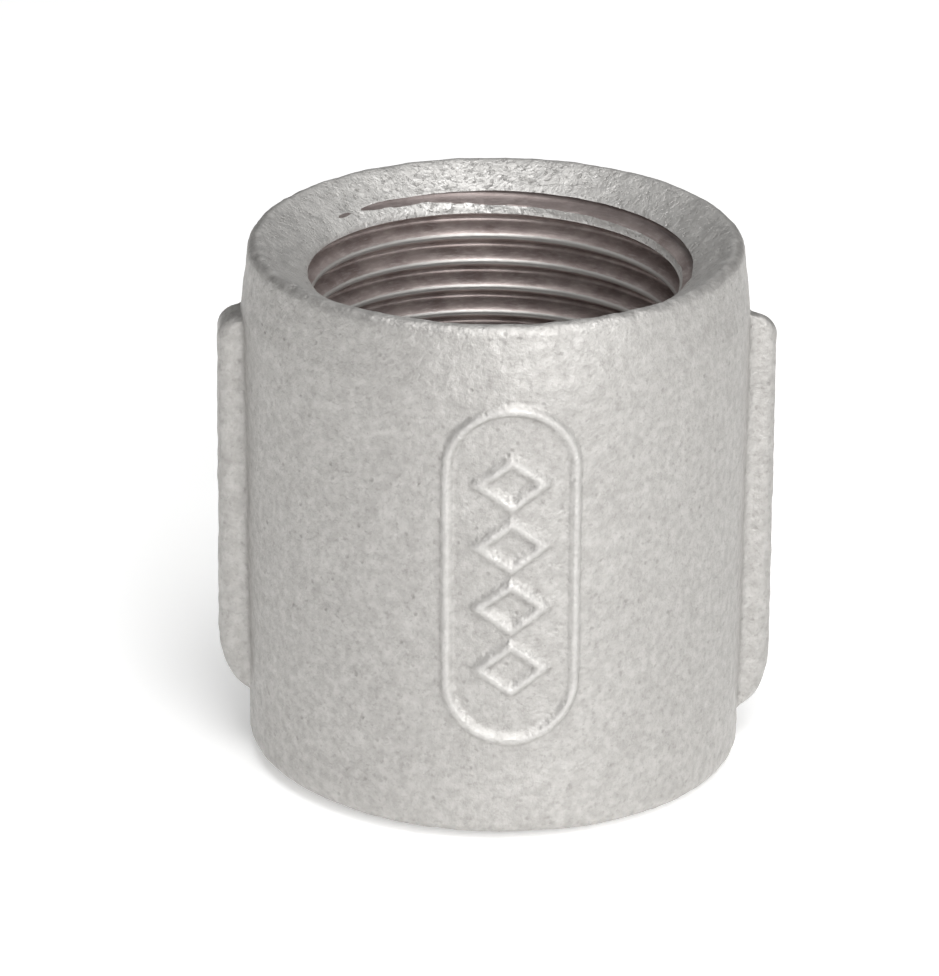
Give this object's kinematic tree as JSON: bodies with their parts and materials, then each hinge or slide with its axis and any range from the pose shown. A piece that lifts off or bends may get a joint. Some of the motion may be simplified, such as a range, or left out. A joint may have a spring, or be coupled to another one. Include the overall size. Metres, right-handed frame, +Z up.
{
  "type": "pipe socket",
  "caption": "Short round malleable iron pipe socket with a right-hand internal thread straight through, countersunk ends and two outer ribs.",
  "frame": {"origin": "centre of the bottom end face, where the bore's axis meets it", "axes": "+Z up along the bore, +X through the middle of one rib, -Y out of the side with the raised oval ring"},
  "size_m": [0.0464, 0.0424, 0.045],
  "materials": {
    "galvanised_iron": "hot-dip galvanised, sandy as-cast grain outside, bare cut threads inside"
  },
  "bodies": {
    "root": {"socket_body": "galvanised_iron"}
  },
  "joints": []
}
